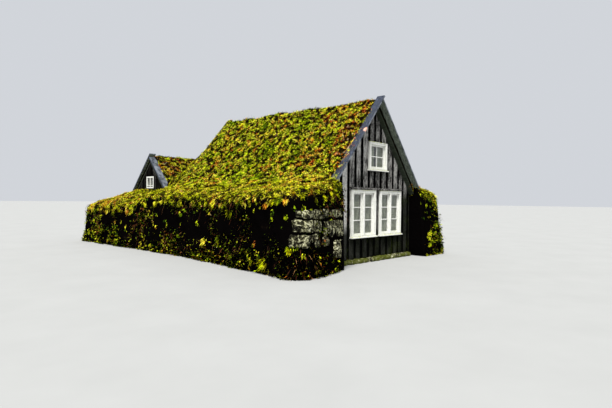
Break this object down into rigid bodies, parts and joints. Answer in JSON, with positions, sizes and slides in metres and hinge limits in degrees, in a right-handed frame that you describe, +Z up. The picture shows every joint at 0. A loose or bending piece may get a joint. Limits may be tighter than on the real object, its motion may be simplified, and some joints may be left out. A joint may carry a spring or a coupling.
{
  "type": "turf house",
  "caption": "Gabled timber house between thick turf walls, with grass-grown turf roofs, a boarded front with three windows and a lower wing across the back.",
  "frame": {"origin": "on the ground under the middle of the front boards' outer face", "axes": "+X to the right along the front gable, +Y to the back along the main ridge, +Z up"},
  "size_m": [7.1899, 11.8017, 4.3666],
  "materials": {
    "turf_wall": "rough turf and field stone, overgrown",
    "roof_turf": "grass-grown turf",
    "footing_stone": "rough field stone",
    "weathered_boards": "weathered dark tarred boards",
    "barge_wood": "weathered blue-grey paint",
    "white_paint": "white paint, slightly worn",
    "window_glass": "clear old glass",
    "curtain_cloth": "thin pale cotton",
    "rod_metal": "dull brass",
    "inner_timber": "rough sawn, unpainted"
  },
  "bodies": {
    "root": {"left_turf_wall": "turf_wall", "right_turf_wall": "turf_wall", "middle_turf_wall": "turf_wall", "wing_left_turf_bank": "turf_wall", "wing_right_turf_bank": "turf_wall", "rear_turf_wall": "turf_wall", "left_roof_turf": "roof_turf", "right_roof_turf": "roof_turf", "wing_front_roof_turf": "roof_turf", "wing_rear_roof_turf": "roof_turf", "front_footing": "footing_stone", "front_gable_boards": "weathered_boards", "rear_gable_boards": "weathered_boards", "wing_gable_boards": "weathered_boards", "drip_board": "weathered_boards", "front_left_bargeboard": "barge_wood", "front_right_bargeboard": "barge_wood", "rear_bargeboards": "barge_wood", "wing_bargeboards": "barge_wood", "left_window_casing": "white_paint", "left_window_sashes": "white_paint", "right_window_casing": "white_paint", "right_window_sashes": "white_paint", "attic_window_casing": "white_paint", "attic_window_sashes": "white_paint", "wing_window_frames": "white_paint", "left_window_glass": "window_glass", "right_window_glass": "window_glass", "attic_window_glass": "window_glass", "wing_window_glass": "window_glass", "left_window_curtains": "curtain_cloth", "right_window_curtains": "curtain_cloth", "attic_window_curtains": "curtain_cloth", "curtain_rods": "rod_metal", "front_gable_frame": "inner_timber", "left_rafters": "inner_timber", "right_rafters": "inner_timber", "wall_plates": "inner_timber", "wall_posts": "inner_timber", "ground_floor": "inner_timber", "loft_joists": "inner_timber", "loft_floor": "inner_timber", "left_roof_boards": "inner_timber", "right_roof_boards": "inner_timber", "wing_front_roof_boards": "inner_timber", "wing_rear_roof_boards": "inner_timber", "wing_front_rafters": "inner_timber", "wing_rear_rafters": "inner_timber"}
  },
  "joints": []
}
